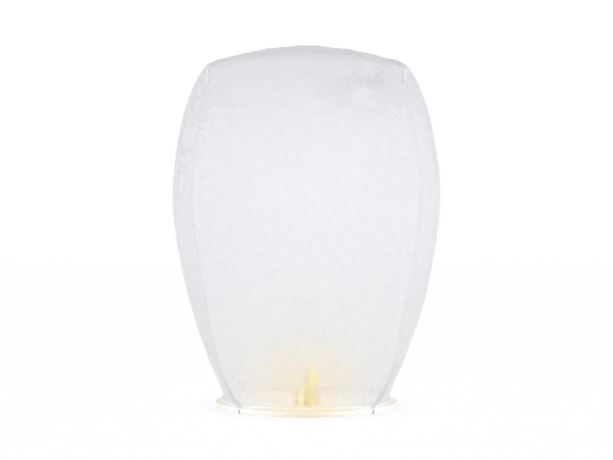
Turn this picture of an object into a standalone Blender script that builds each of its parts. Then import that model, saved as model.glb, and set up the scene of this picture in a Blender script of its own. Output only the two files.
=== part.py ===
"""Sky lantern: four paper gores on a bamboo hoop, with a waxed fuel cell tied on crossed wires.

Metres, +Z up. The origin is on the lantern's axis, in the plane of the hem's flat underside.
The front gore faces -Y. Its glued seams, like the wire ends, lie on the diagonals at 45 degrees.
"""

import math

import bmesh
import bpy
from mathutils import Matrix, Vector

# ---- driving dimensions ----------------------------------------------------------------------

PAPER = 0.0006  # sheet thickness, thicker than real tissue so that it is a solid wall
SEAM_TRIM = 0.0006  # paper left off each gore edge, so that neighbours never touch
NOTCH_TRIM = 0.0052  # paper left off each end of the hem, where the wire grips the bare hoop
PIECE_GAP = 0.00035  # clearance between pieces that rest on each other

HEM_RADIUS = 0.192  # outer face of the hem
HEM_LIP_HEIGHT = 0.0095  # top of the hem's inner turn
HEM_WIDTH = 0.0082  # flat underside, measured along a radius

# Envelope sections from the hem's top to the crown:
# (height at mid-gore, offset at mid-gore, height at the seam, offset at the seam).
# An offset is the distance from the axis along the gore's own facing direction.
GORE_SECTIONS = (
    (0.0115, 0.1920, 0.0115, 0.13576),
    (0.0165, 0.1795, 0.0165, 0.1349),
    (0.0240, 0.1760, 0.0240, 0.1410),
    (0.0400, 0.1800, 0.0400, 0.1500),
    (0.0970, 0.2037, 0.0970, 0.1735),
    (0.2000, 0.2390, 0.2000, 0.1920),
    (0.3200, 0.2680, 0.3200, 0.2125),
    (0.4500, 0.2820, 0.4500, 0.2250),
    (0.5600, 0.2700, 0.5600, 0.2130),
    (0.6500, 0.2475, 0.6400, 0.1980),
    (0.6960, 0.2260, 0.6745, 0.1920),
    (0.7175, 0.2080, 0.6965, 0.1900),
    (0.7290, 0.1700, 0.7200, 0.1500),
    (0.7410, 0.1300, 0.7368, 0.1060),
    (0.7532, 0.0750, 0.7515, 0.0560),
    (0.7611, 0.0040, 0.7611, 0.00283),
)
ROW_SPACING = 0.045  # greatest distance, roughly, between rows of the envelope's facets
GORE_COLUMNS = 12
LEVEL_HALVINGS = 40  # halvings in the search for a level of the envelope

PATCH_RADIUS = 0.035
PATCH_THICKNESS = 0.0005
PATCH_RINGS = 4
PATCH_COLUMNS = 6  # columns over each gore

HOOP_RADIUS = 0.189  # middle of the bamboo strip
STRIP_THICKNESS = 0.0018
STRIP_HEIGHT = 0.006
HOOP_MID_Z = 0.0047
SPLICE_ANGLE = math.radians(12)  # overlap of the strip's two ends, centred at the front
SPIRAL_ANGLE = math.radians(30)  # run over which the strip steps in to pass behind its start
HOOP_STEPS = 84

BINDING_LENGTH = 0.028
BINDING_THICKNESS = 0.0004
BINDING_CORNER = 0.0008
BINDING_STEPS = 5
CORNER_STEPS = 3  # points round each rounded corner of a binding or coil

WIRE_RADIUS = 0.0005
COIL_TURNS = 4
COIL_PITCH = 0.0014
COIL_CORNER = 0.0015
COIL_GAP = 0.0005  # clearance between a coil and the bamboo
LOWER_WIRE_MID_Z = 0.0024  # height of the lower wire where the two cross
LEAD_LENGTH = 0.012  # run over which a wire swings from its coil to the diagonal
LEAD_STEPS = 4

TIE_RADIUS = 0.0004
TIE_HALF_WIDTH = 0.0025
TIE_TOP_Z = 0.0205
TIE_BEND_STEPS = 6

BLOCK_SIDE = 0.050
BLOCK_HEIGHT = 0.012
BLOCK_HOLE_RADIUS = 0.004
BLOCK_HOLE_SIDES = 20
BLOCK_EDGE = 0.0018
BLOCK_EDGE_STEPS = 2

FRONT = -math.pi / 2  # azimuth of the middle of the front gore

# ---- derived dimensions ----------------------------------------------------------------------

STRIP_STEP = STRIP_THICKNESS + PIECE_GAP
HEM_LIP_RADIUS = HEM_RADIUS - HEM_WIDTH
UPPER_WIRE_MID_Z = LOWER_WIRE_MID_Z + 2 * WIRE_RADIUS + PIECE_GAP
BLOCK_BOTTOM_Z = UPPER_WIRE_MID_Z + WIRE_RADIUS + PIECE_GAP
TIE_BOTTOM_Z = LOWER_WIRE_MID_Z - WIRE_RADIUS - PIECE_GAP - TIE_RADIUS
COIL_HALF_DEPTH = STRIP_THICKNESS / 2 + COIL_GAP + WIRE_RADIUS
COIL_HALF_HEIGHT = STRIP_HEIGHT / 2 + COIL_GAP + WIRE_RADIUS


# ---- scene helpers ---------------------------------------------------------------------------


def clear_scene():
    for obj in list(bpy.data.objects):
        bpy.data.objects.remove(obj, do_unlink=True)


def new_collection(name):
    collection = bpy.data.collections.new(name)
    bpy.context.scene.collection.children.link(collection)
    return collection


def make_material(name, colour, roughness, metallic=0.0, transmission=0.0):
    material = bpy.data.materials.new(name)
    material.use_nodes = True
    shader = material.node_tree.nodes["Principled BSDF"]
    shader.inputs["Base Color"].default_value = (*colour, 1.0)
    shader.inputs["Roughness"].default_value = roughness
    shader.inputs["Metallic"].default_value = metallic
    shader.inputs["Transmission Weight"].default_value = transmission
    return material


def add_object(name, data, material, collection, root):
    obj = bpy.data.objects.new(name, data)
    if material.name not in data.materials:
        data.materials.append(material)
    collection.objects.link(obj)
    obj.parent = root
    return obj


def add_solidify(obj, thickness, offset):
    modifier = obj.modifiers.new("thickness", "SOLIDIFY")
    modifier.thickness = thickness
    modifier.offset = offset
    modifier.use_even_offset = True


def smooth_shading(mesh, angle=math.radians(35)):
    mesh.shade_smooth()
    mesh.set_sharp_from_angle(angle=angle)


def sheet_mesh(name, rows, wrap=False, tip=None):
    """A grid surface through rows of points; wrap joins each row's ends, tip closes the last row."""
    bm = bmesh.new()
    grid = [[bm.verts.new(point) for point in row] for row in rows]
    for lower, upper in zip(grid, grid[1:]):
        count = len(lower)
        for j in range(count if wrap else count - 1):
            k = (j + 1) % count
            bm.faces.new((lower[j], lower[k], upper[k], upper[j]))
    if tip is not None:
        top = bm.verts.new(tip)
        last = grid[-1]
        for j, vert in enumerate(last):
            bm.faces.new((vert, last[(j + 1) % len(last)], top))
    mesh = bpy.data.meshes.new(name)
    bm.to_mesh(mesh)
    bm.free()
    return mesh


def polar(radius, azimuth, z):
    return Vector((radius * math.cos(azimuth), radius * math.sin(azimuth), z))


def smoothstep(value):
    value = min(max(value, 0.0), 1.0)
    return value * value * (3 - 2 * value)


# ---- paper envelope --------------------------------------------------------------------------


def section_spacing(a, b):
    """Distance between two sections along the mid-gore line."""
    return math.hypot(b[0] - a[0], b[1] - a[1])


def section_slope(index):
    """Rate of change of each section value per metre along mid-gore, for a smooth curve."""
    last = len(GORE_SECTIONS) - 1
    here = GORE_SECTIONS[index]
    before = GORE_SECTIONS[max(index - 1, 0)]
    after = GORE_SECTIONS[min(index + 1, last)]
    back = section_spacing(before, here)
    ahead = section_spacing(here, after)
    if index == 0:
        return [(n - h) / ahead for h, n in zip(here, after)]
    if index == last:
        return [(h - p) / back for p, h in zip(before, here)]
    return [
        ((h - p) / back * ahead + (n - h) / ahead * back) / (back + ahead)
        for p, h, n in zip(before, here, after)
    ]


def section_at(level):
    """The envelope section at a level, where 0 is the hem's top and whole levels are the table's."""
    index = min(int(level), len(GORE_SECTIONS) - 2)
    s = level - index
    start, end = GORE_SECTIONS[index], GORE_SECTIONS[index + 1]
    span = section_spacing(start, end)
    weights = (2 * s**3 - 3 * s**2 + 1, s**3 - 2 * s**2 + s, 3 * s**2 - 2 * s**3, s**3 - s**2)
    slopes = (section_slope(index), section_slope(index + 1))
    return [
        weights[0] * p + weights[1] * span * m + weights[2] * q + weights[3] * span * n
        for p, m, q, n in zip(start, slopes[0], end, slopes[1])
    ]


def gore_row(section, trim, columns):
    """Points across the front gore on a circular arc through both seams and the mid-gore line."""
    mid_z, mid, seam_z, seam = section
    bulge = mid - seam
    radius = (bulge * bulge + seam * seam) / (2 * bulge)
    seam_angle = math.asin(seam / radius)
    end_angle = seam_angle - trim / radius
    row = []
    for j in range(columns + 1):
        angle = end_angle * (2 * j / columns - 1)
        across = angle / seam_angle
        z = seam_z + (mid_z - seam_z) * (1 - across * across)
        row.append((radius * math.sin(angle), radius - mid - radius * math.cos(angle), z))
    return row


def hem_section(radius, z):
    """A round section, which the paper has where it is folded about the hoop."""
    return (z, radius, z, radius * math.sqrt(0.5))


def make_gore_mesh():
    """The front gore's outer skin, from the hem's inner lip, under the hoop and up to the crown."""
    fold = ((HEM_LIP_RADIUS, HEM_LIP_HEIGHT), (HEM_LIP_RADIUS, 0.0), (HEM_RADIUS, 0.0))
    rows = [gore_row(hem_section(radius, z), NOTCH_TRIM, GORE_COLUMNS) for radius, z in fold]
    rows.append(gore_row(GORE_SECTIONS[0], NOTCH_TRIM, GORE_COLUMNS))
    for index, (start, end) in enumerate(zip(GORE_SECTIONS, GORE_SECTIONS[1:])):
        count = max(1, round(section_spacing(start, end) / ROW_SPACING))
        for i in range(1, count + 1):
            rows.append(gore_row(section_at(index + i / count), SEAM_TRIM, GORE_COLUMNS))
    mesh = sheet_mesh("gore_sheet", rows)
    smooth_shading(mesh)
    return mesh


def make_gores(material, collection, root):
    mesh = make_gore_mesh()
    for turn, name in enumerate(("gore_front", "gore_right", "gore_back", "gore_left")):
        gore = add_object(name, mesh, material, collection, root)
        gore.rotation_euler.z = turn * math.pi / 2
        add_solidify(gore, PAPER, -1)


def crown_ring(radius, lift, columns):
    """A closed ring over all four gores, at the level where mid-gore is this far from the axis."""
    low, high = len(GORE_SECTIONS) - 4.0, len(GORE_SECTIONS) - 1.0
    for _ in range(LEVEL_HALVINGS):
        level = (low + high) / 2
        if section_at(level)[1] > radius:
            low = level
        else:
            high = level
    ring = []
    for turn in range(4):
        spin = Matrix.Rotation(turn * math.pi / 2, 3, "Z")
        for point in gore_row(section_at(low), 0.0, columns)[:-1]:
            ring.append(spin @ Vector(point) + Vector((0, 0, lift)))
    return ring


def make_crown_patch(material, collection, root):
    apex = GORE_SECTIONS[-1][0]
    down = Vector((0, 0, -apex))
    rings = []
    for i in range(PATCH_RINGS):
        radius = PATCH_RADIUS * (PATCH_RINGS - i) / PATCH_RINGS
        rings.append([point + down for point in crown_ring(radius, PIECE_GAP, PATCH_COLUMNS)])
    mesh = sheet_mesh("crown_patch", rings, wrap=True, tip=(0, 0, PIECE_GAP))
    smooth_shading(mesh)
    patch = add_object("crown_patch", mesh, material, collection, root)
    patch.location.z = apex
    add_solidify(patch, PATCH_THICKNESS, 1)


# ---- bamboo hoop -----------------------------------------------------------------------------


def make_hoop(material, collection, root):
    """A bent strip whose end steps inwards and overlaps its start at the front."""
    turn = 2 * math.pi + SPLICE_ANGLE
    rows = []
    for i in range(HOOP_STEPS + 1):
        along = turn * i / HOOP_STEPS
        step_in = smoothstep((along - 2 * math.pi + SPIRAL_ANGLE) / SPIRAL_ANGLE)
        radius = HOOP_RADIUS - STRIP_STEP * step_in
        azimuth = FRONT - SPLICE_ANGLE / 2 + along
        rows.append([polar(radius, azimuth, HOOP_MID_Z + side * STRIP_HEIGHT / 2) for side in (1, -1)])
    mesh = sheet_mesh("bamboo_hoop", rows)
    smooth_shading(mesh)
    hoop = add_object("bamboo_hoop", mesh, material, collection, root)
    add_solidify(hoop, STRIP_THICKNESS, 0)


def rounded_loop(half_width, half_height, corner, steps):
    """Points round a rectangle with arc corners, anticlockwise from the upper right."""
    loop = []
    for quarter in range(4):
        right = 1 if quarter in (0, 3) else -1
        top = 1 if quarter in (0, 1) else -1
        for i in range(steps):
            angle = math.pi / 2 * (quarter + i / (steps - 1))
            x = right * (half_width - corner) + corner * math.cos(angle)
            y = top * (half_height - corner) + corner * math.sin(angle)
            loop.append((x, y))
    return loop


def make_hoop_binding(material, collection, root):
    """A tape sleeve round both layers of the splice."""
    half_width = (STRIP_THICKNESS + STRIP_STEP) / 2 + PIECE_GAP + BINDING_THICKNESS
    half_height = STRIP_HEIGHT / 2 + PIECE_GAP + BINDING_THICKNESS
    middle = HOOP_RADIUS - STRIP_STEP / 2
    rows = []
    for i in range(BINDING_STEPS + 1):
        azimuth = FRONT - BINDING_LENGTH / middle * (i / BINDING_STEPS - 0.5)
        loop = rounded_loop(half_width, half_height, BINDING_CORNER, CORNER_STEPS)
        rows.append([polar(middle + x, azimuth, HOOP_MID_Z + y) for x, y in loop])
    mesh = sheet_mesh("hoop_binding", rows, wrap=True)
    smooth_shading(mesh)
    binding = add_object("hoop_binding", mesh, material, collection, root)
    add_solidify(binding, BINDING_THICKNESS, -1)


# ---- wires -----------------------------------------------------------------------------------


def wire_object(name, points, radius, material, collection, root):
    curve = bpy.data.curves.new(name, "CURVE")
    curve.dimensions = "3D"
    curve.bevel_depth = radius
    curve.bevel_resolution = 2
    curve.use_fill_caps = True
    spline = curve.splines.new("POLY")
    spline.points.add(len(points) - 1)
    for spline_point, point in zip(spline.points, points):
        spline_point.co = (*point, 1.0)
    return add_object(name, curve, material, collection, root)


def coil_and_lead(cross_z):
    """One end of a cross wire, in the plane of +X: wraps about the hoop, then its lead to the axis."""
    loop = rounded_loop(COIL_HALF_DEPTH, COIL_HALF_HEIGHT, COIL_CORNER, CORNER_STEPS)
    # A coil starts and ends on the strip's inner face, just above its lower corner.
    loop_count = len(loop)
    total = COIL_TURNS * loop_count
    points = []
    for i in range(total + 1):
        x, z = loop[(i + loop_count // 2) % loop_count]
        sideways = COIL_PITCH * (i / loop_count - COIL_TURNS / 2)
        points.append(Vector((HOOP_RADIUS + x, sideways, HOOP_MID_Z + z)))
    coil_end = points[-1]
    lead_radius = HOOP_RADIUS - COIL_HALF_DEPTH - LEAD_LENGTH
    lead_z = cross_z + (HOOP_MID_Z - cross_z) * lead_radius / HOOP_RADIUS
    lead = Vector((lead_radius, 0, lead_z))
    for i in range(1, LEAD_STEPS):
        share = i / LEAD_STEPS
        point = coil_end.lerp(lead, share)
        point.y = coil_end.y * (1 - smoothstep(share))
        point.z = coil_end.z + (lead_z - coil_end.z) * smoothstep(share)
        points.append(point)
    points.append(lead)
    return points


def make_cross_wire(name, turn, cross_z, material, collection, root):
    near = coil_and_lead(cross_z)
    half_turn = Matrix.Rotation(math.pi, 3, "Z")
    far = [half_turn @ point for point in reversed(near)]
    middle = [Vector((0, 0, cross_z))]
    wire = wire_object(name, near + middle + far, WIRE_RADIUS, material, collection, root)
    wire.rotation_euler.z = turn


def make_tie_wire(material, collection, root):
    """A staple hooked under the crossing, whose prongs stand up through the fuel block."""
    bend = TIE_HALF_WIDTH
    points = [Vector((-TIE_HALF_WIDTH, 0, TIE_TOP_Z))]
    for i in range(TIE_BEND_STEPS + 1):
        angle = math.pi + math.pi * i / TIE_BEND_STEPS
        height = TIE_BOTTOM_Z + bend * (1 + math.sin(angle))
        points.append(Vector((bend * math.cos(angle), 0, height)))
    points.append(Vector((TIE_HALF_WIDTH, 0, TIE_TOP_Z)))
    wire_object("fuel_tie_wire", points, TIE_RADIUS, material, collection, root)


# ---- fuel block ------------------------------------------------------------------------------


def make_fuel_block(material, collection, cutters, root):
    mesh = bpy.data.meshes.new("fuel_block")
    bm = bmesh.new()
    bmesh.ops.create_cube(bm, size=1.0)
    bmesh.ops.scale(bm, vec=(BLOCK_SIDE, BLOCK_SIDE, BLOCK_HEIGHT), verts=bm.verts)
    bmesh.ops.translate(bm, vec=(0, 0, BLOCK_HEIGHT / 2), verts=bm.verts)
    bm.to_mesh(mesh)
    bm.free()
    block = add_object("fuel_block", mesh, material, collection, root)
    block.location.z = BLOCK_BOTTOM_Z
    bevel = block.modifiers.new("soft_edges", "BEVEL")
    bevel.width = BLOCK_EDGE
    bevel.segments = BLOCK_EDGE_STEPS

    hole_mesh = bpy.data.meshes.new("block_hole")
    bm = bmesh.new()
    bmesh.ops.create_cone(
        bm,
        cap_ends=True,
        segments=BLOCK_HOLE_SIDES,
        radius1=BLOCK_HOLE_RADIUS,
        radius2=BLOCK_HOLE_RADIUS,
        depth=3 * BLOCK_HEIGHT,
    )
    bm.to_mesh(hole_mesh)
    bm.free()
    hole = bpy.data.objects.new("block_hole", hole_mesh)
    cutters.objects.link(hole)
    hole.location.z = BLOCK_BOTTOM_Z + BLOCK_HEIGHT / 2
    hole.hide_render = True
    hole.display_type = "WIRE"
    cut = block.modifiers.new("tie_hole", "BOOLEAN")
    cut.operation = "DIFFERENCE"
    cut.object = hole
    cut.solver = "EXACT"


# ---- assembly --------------------------------------------------------------------------------


def build():
    clear_scene()
    collection = new_collection("sky_lantern")
    cutters = new_collection("cutters")
    root = bpy.data.objects.new("lantern_origin", None)
    collection.objects.link(root)

    paper = make_material("white_tissue", (0.86, 0.87, 0.89), 0.75, transmission=0.3)
    patch_paper = make_material("patch_tissue", (0.84, 0.85, 0.87), 0.75)
    bamboo = make_material("split_bamboo", (0.72, 0.58, 0.36), 0.55)
    tape = make_material("binding_tape", (0.66, 0.64, 0.56), 0.65)
    steel = make_material("galvanised_wire", (0.56, 0.57, 0.58), 0.38, metallic=1.0)
    tie_steel = make_material("tie_wire", (0.50, 0.51, 0.52), 0.42, metallic=1.0)
    wax = make_material("waxed_card", (0.78, 0.66, 0.44), 0.5)

    make_gores(paper, collection, root)
    make_crown_patch(patch_paper, collection, root)
    make_hoop(bamboo, collection, root)
    make_hoop_binding(tape, collection, root)
    make_cross_wire("cross_wire_a", math.pi / 4, LOWER_WIRE_MID_Z, steel, collection, root)
    make_cross_wire("cross_wire_b", -math.pi / 4, UPPER_WIRE_MID_Z, steel, collection, root)
    make_tie_wire(tie_steel, collection, root)
    make_fuel_block(wax, collection, cutters, root)


build()
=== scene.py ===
import math

import bpy
import numpy as np
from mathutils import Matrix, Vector


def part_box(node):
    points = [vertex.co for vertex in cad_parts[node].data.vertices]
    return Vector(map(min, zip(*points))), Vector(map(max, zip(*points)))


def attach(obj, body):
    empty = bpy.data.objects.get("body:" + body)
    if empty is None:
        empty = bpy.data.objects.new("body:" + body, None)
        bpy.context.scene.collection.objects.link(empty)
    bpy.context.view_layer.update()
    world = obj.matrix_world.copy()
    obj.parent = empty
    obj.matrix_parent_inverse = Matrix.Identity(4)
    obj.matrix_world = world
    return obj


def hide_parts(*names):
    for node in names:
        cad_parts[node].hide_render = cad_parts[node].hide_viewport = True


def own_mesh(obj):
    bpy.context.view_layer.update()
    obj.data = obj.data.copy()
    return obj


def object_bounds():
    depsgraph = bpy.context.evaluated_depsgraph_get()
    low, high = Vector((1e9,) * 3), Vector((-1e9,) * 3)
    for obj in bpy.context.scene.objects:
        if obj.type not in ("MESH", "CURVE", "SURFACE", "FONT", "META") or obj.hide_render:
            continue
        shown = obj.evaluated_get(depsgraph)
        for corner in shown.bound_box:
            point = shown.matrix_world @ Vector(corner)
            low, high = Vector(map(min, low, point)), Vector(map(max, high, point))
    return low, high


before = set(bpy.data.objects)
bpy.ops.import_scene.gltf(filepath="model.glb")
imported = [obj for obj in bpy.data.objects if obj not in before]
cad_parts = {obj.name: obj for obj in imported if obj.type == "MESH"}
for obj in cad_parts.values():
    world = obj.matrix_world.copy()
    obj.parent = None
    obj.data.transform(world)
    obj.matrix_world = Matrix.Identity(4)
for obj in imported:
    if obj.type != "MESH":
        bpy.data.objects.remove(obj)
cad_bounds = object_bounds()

# Looks of the sky lantern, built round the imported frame. Metres, +Z up, the front gore faces -Y.
#
# Envelope grids have one row per level from the hem's top to the crown and one column per station
# round the lantern. Columns run through the front, right, back and left gores in turn, and the
# first column of each gore is its glued seam with the gore before.

GORES = ("front", "right", "back", "left")

# ---- envelope shape ----

FINE_COLUMNS = 150  # columns per gore in the finished paper
FINE_ROWS = 430
CLOTH_COLUMNS = 48
CLOTH_ROWS = 150
GORE_HALF_WIDTH = 0.19  # from mid-gore to the seam, at the height of the flame's glow
TIP_CUT = 0.003  # paper left open about the crown point, under the patch
CLOTH_TIP_CUT = 0.013

# ---- cloth ----

CLOTH_START = 0.0004  # size of the random unevenness that starts the buckling
CLOTH_FRAMES = 14
CLOTH_GROWTH = 0.022  # share by which the paper is too big for its shape, so that it buckles
CLOTH_CAP = 0.004  # greatest distance that a point may move
CLOTH_SETTINGS = {
    "quality": 4,
    "mass": 0.02,
    "tension_stiffness": 20,
    "compression_stiffness": 20,
    "shear_stiffness": 10,
    "bending_stiffness": 0.25,
    "air_damping": 2,
    "vertex_group_mass": "hold",
    "pin_stiffness": 0.5,
    "shrink_min": -CLOTH_GROWTH,
}

# ---- creases ----

# Rumpled places: (place, reach round the lantern, reach up and down, strength)
RUMPLES = (
    ((-0.255, -0.115, 0.520), 0.085, 0.110, 1.00),
    ((-0.200, -0.190, 0.610), 0.050, 0.050, 0.80),
    ((0.120, -0.225, 0.655), 0.090, 0.048, 0.80),
    ((0.262, -0.095, 0.500), 0.050, 0.140, 0.55),
    ((0.205, 0.180, 0.560), 0.090, 0.110, 0.80),
    ((-0.090, 0.250, 0.600), 0.110, 0.070, 0.70),
    ((-0.235, 0.110, 0.380), 0.060, 0.090, 0.60),
)
WIDE_FACETS = (1.0, 0.7, 1.0)  # scale that makes facets longer from front to back than across
CREASE_TRIES = 1100  # places tried per gore for a random fold; only rumpled ones take it
RIM_FOLDS = ((0.748, 0.772), (0.757, 0.780))  # start and end of each, as distance up the paper
RIM_FOLD_ENDS = (0.195, 0.095)  # distance across from mid-gore
PACKING_FOLDS = ((0.326, 0.0007), (0.577, 0.0005), (0.150, 0.0003))  # (height, depth)
FOLD_PLACES = (0.036, -0.050, 0.065, -0.020)  # across each gore, where its soft fold hangs
SHARP_CURVE = 0.0030  # height above four near points, summed, at which the painted highlight on a ridge and the painted shade in a valley show fully

# ---- hem ----

HEM_COLUMNS = 150
HEM_STEPS = 22
HEM_TOP = 0.0105  # a CAD gore's points below this height belong to its fold round the hoop
HEM_CORNER = 0.0026  # size of the fold's two rounded corners
NOTCH = 0.0024  # bare hoop at each end of a gore's hem, where the wire is wound
BAND_TOP = 0.0185  # height to which the folded edge is glued back on the gore
HEM_HALF_WIDTH = 0.15  # from mid-gore to the seam, round the hoop
HEM_GLOW = 0.085  # how far the flame's painted glow spreads to each side along a gore's hem
HEM_PAINTED_GLOW = {"front": 1.0, "right": 0.4, "back": 0.4, "left": 0.4}  # strength of that painted glow

# The lap along a seam, from its fold to its free edge: (share of its width, share of its lift)
LAP_PROFILE = ((-0.55, 0.06), (-0.25, 0.32), (0.0, 0.5), (0.35, 0.62), (0.7, 0.8), (1.0, 1.0))

# ---- fuel cell ----

CARD_LAYERS = 6
CARD_POINTS = 56  # round each sheet
CARD_HOLE = 0.0040  # radius of the hole for the tie wire
CARD_GAP = 0.00012  # between two sheets

# ---- flame ----

FLAME_STEPS = 60
FLAME_SIDES = 36
LEAN_HEIGHT = 0.045  # height at which a tongue has leant back to the block's middle

# Each tongue's outline, from its base to its tip, in millimetres:
# (x, height above the block, half width, half depth)
FLAMES = {
    "core": (
        (3.5, -13.5, 6.2, 3.0), (3.5, -6.0, 7.5, 3.6), (3.0, 6.0, 7.4, 4.0),
        (2.2, 18.0, 6.6, 4.0), (4.5, 30.0, 4.8, 3.0), (7.0, 40.0, 0.4, 0.4),
    ),
    "left": (
        (-11.5, -13.5, 4.0, 3.2), (-11.5, -4.0, 5.2, 4.0), (-10.6, 8.0, 5.2, 4.0),
        (-9.2, 19.0, 4.0, 3.4), (-6.0, 31.0, 0.4, 0.4),
    ),
    "upper": (
        (2.8, 8.0, 6.0, 5.0), (4.8, 21.0, 8.4, 6.0), (11.5, 33.0, 9.8, 7.0),
        (18.0, 43.0, 8.2, 6.0), (16.2, 53.0, 5.4, 4.8), (12.0, 64.0, 2.8, 2.5),
        (9.8, 76.0, 0.3, 0.3),
    ),
    "right": (
        (17.0, -13.5, 4.6, 3.6), (18.5, -2.0, 5.4, 4.0), (20.5, 10.0, 5.0, 4.0),
        (22.2, 20.0, 3.6, 3.0), (23.0, 30.0, 0.3, 0.3),
    ),
    "foot": (
        (11.7, -13.5, 2.1, 2.0), (11.7, -6.0, 2.6, 2.2), (11.3, 0.0, 2.2, 2.0),
        (10.6, 10.0, 0.3, 0.3),
    ),
    "wisp_left": (
        (1.0, 28.0, 5.2, 4.0), (0.0, 44.0, 6.0, 4.6), (0.4, 57.0, 4.6, 3.6),
        (-1.2, 69.0, 2.4, 2.0), (-0.4, 88.0, 0.3, 0.3),
    ),
    "wisp_middle": (
        (6.5, 48.0, 2.0, 2.0), (7.0, 65.0, 1.9, 1.8), (6.0, 80.0, 1.2, 1.2),
        (6.8, 94.0, 0.3, 0.3),
    ),
}

# ---- stage, light and camera ----

FLOOR_SIDES = 96
FLOOR_RADIUS = 14.0
FLOOR_GAP = 0.002  # below the object, so that the hem and the floor don't meet
FLAME_LIGHT_W = 0.22
FLAME_LIGHT_RISE = 0.055  # above the block
INNER_LIGHT_W = 0.66  # a little even light inside the envelope, as if the whole of it glowed
INNER_LIGHT_Z = 0.44
FLAME_LIGHT_COLOUR = (1.0, 0.84, 0.58)
SKY_STRENGTH = 1.16
LENS_MM = 82.2
CAMERA_PLACE = (0, -2.970, 0.373)

WHITE = (1.0, 1.0, 1.0)


def lerp(a, b, share):
    return a + (b - a) * share


def ramp(value, low, high):
    """0 at low, 1 at high, smooth between and level beyond, for numbers or arrays."""
    share = np.clip((value - low) / (high - low), 0.0, 1.0)
    return share * share * (3 - 2 * share)


def bell(value, middle, width):
    """1 at the middle, falling off smoothly over about this width to each side."""
    return np.exp(-(((value - middle) / width) ** 2))


def quarter_turned(x, y, turn):
    """x and y after this many quarter turns round the lantern's axis."""
    c, s = round(math.cos(turn * math.pi / 2)), round(math.sin(turn * math.pi / 2))
    return c * x - s * y, s * x + c * y


def polar(radius, angle, z):
    """Points at these distances from the lantern's axis, angles round it and heights."""
    return np.stack([radius * np.cos(angle), radius * np.sin(angle), z], axis=-1)


def smooth_noise(points, size, seed):
    """Noise between -1 and 1 that varies over about this size, from a seeded random lattice."""
    lattice = np.random.default_rng(seed).uniform(-1.0, 1.0, (32, 32, 32))
    scaled = np.asarray(points) / size + 7.0
    cell = np.floor(scaled).astype(int)
    part = scaled - cell
    part = part * part * (3 - 2 * part)
    total = 0.0
    for corner in range(8):
        offset = np.array([corner & 1, corner >> 1 & 1, corner >> 2 & 1])
        weight = np.where(offset == 1, part, 1 - part).prod(axis=-1)
        index = (cell + offset) % 32
        total = total + weight * lattice[index[..., 0], index[..., 1], index[..., 2]]
    return total


# ---- lines read from the frame ----


def gore_points():
    """The CAD's front gore as an array of points."""
    return np.array([vert.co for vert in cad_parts["gore_front"].data.vertices])


def outer_line(points):
    """The outer point of each pair that a two-sided sheet has along one line."""
    points = points[np.argsort(points[:, 2])]
    pairs = points[: len(points) // 2 * 2].reshape(-1, 2, 3)
    outer = np.abs(pairs[:, :, 1]).argmax(axis=1)
    return pairs[np.arange(len(pairs)), outer]


def gore_lines():
    """(offset, height) along mid-gore and along the seam, row by row, from the front gore."""
    points = np.unique(np.round(gore_points(), 6), axis=0)
    above = points[points[:, 2] > HEM_TOP]
    middle = outer_line(above[np.abs(above[:, 0]) < 1e-5])
    on_diagonal = np.abs(above[:, 0] + above[:, 1]) < 0.0016
    edge = outer_line(above[(above[:, 0] > 0) & on_diagonal & (np.abs(above[:, 1]) > 0.01)])
    middle = np.stack([-middle[:, 1], middle[:, 2]], axis=1)[:-1]
    seam = np.stack([(edge[:, 0] - edge[:, 1]) / 2, edge[:, 2]], axis=1)
    hem_top = middle[0]
    crown = [0.0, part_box("gore_front")[1][2] + 0.001]
    middle = np.vstack([middle, crown])
    seam = np.vstack([[hem_top[0] * math.sqrt(0.5), hem_top[1]], seam, crown])
    return middle, seam


def smooth_curve(knots, values, at):
    """A curve through values at the knots, with slopes that bend evenly."""
    spans = np.diff(knots)
    slopes = np.diff(values, axis=0) / spans[:, None]
    tangents = np.empty_like(values)
    before, after = spans[:-1, None], spans[1:, None]
    tangents[1:-1] = (slopes[:-1] * after + slopes[1:] * before) / (before + after)
    tangents[0] = slopes[0]
    tangents[-1] = slopes[-1]
    i = np.clip(np.searchsorted(knots, at, side="right") - 1, 0, len(spans) - 1)
    s = ((at - knots[i]) / spans[i])[:, None]
    span = spans[i][:, None]
    rise = 3 * s**2 - 2 * s**3
    start = values[i] * (1 - rise) + span * tangents[i] * (s**3 - 2 * s**2 + s)
    return start + values[i + 1] * rise + span * tangents[i + 1] * (s**3 - s**2)


def envelope_grid(rows, columns, tip_cut=TIP_CUT):
    """Smooth envelope points [row, station, xyz], and each row's distance up the paper."""
    middle, seam = gore_lines()
    steps = np.linalg.norm(np.diff(middle, axis=0), axis=1)
    knots = np.concatenate([[0.0], np.cumsum(steps)])
    up = np.linspace(0.0, knots[-1] - tip_cut, rows)
    mid, mid_z, side, side_z = smooth_curve(knots, np.hstack([middle, seam]), up).T[:, :, None]
    bulge = np.maximum(mid - side, 1e-6)
    radius = (bulge**2 + side**2) / (2 * bulge)
    across = np.arange(columns) / columns * 2 - 1
    angle = np.arcsin(np.clip(side / radius, -1, 1)) * across
    x = radius * np.sin(angle)
    y = radius - mid - radius * np.cos(angle)
    z = side_z + (mid_z - side_z) * (1 - across**2)
    gores = [np.stack([*quarter_turned(x, y, turn), z], axis=-1) for turn in range(4)]
    return np.concatenate(gores, axis=1), up


def grid_normals(grid):
    """Outward unit normals of an envelope grid."""
    around = np.roll(grid, -1, axis=1) - np.roll(grid, 1, axis=1)
    up = np.gradient(grid, axis=0)
    normal = np.cross(around, up)
    return normal / np.linalg.norm(normal, axis=-1, keepdims=True)


def across_gore(columns):
    """-1 at a gore's left seam to 1 at its right one, for every station round the lantern."""
    return np.tile(np.arange(columns) / columns * 2 - 1, 4)


def point_gaps(grid):
    """Distance from each point to the next one round the lantern."""
    return np.linalg.norm(np.roll(grid, -1, axis=1) - grid, axis=-1)


# ---- meshes ----


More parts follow.
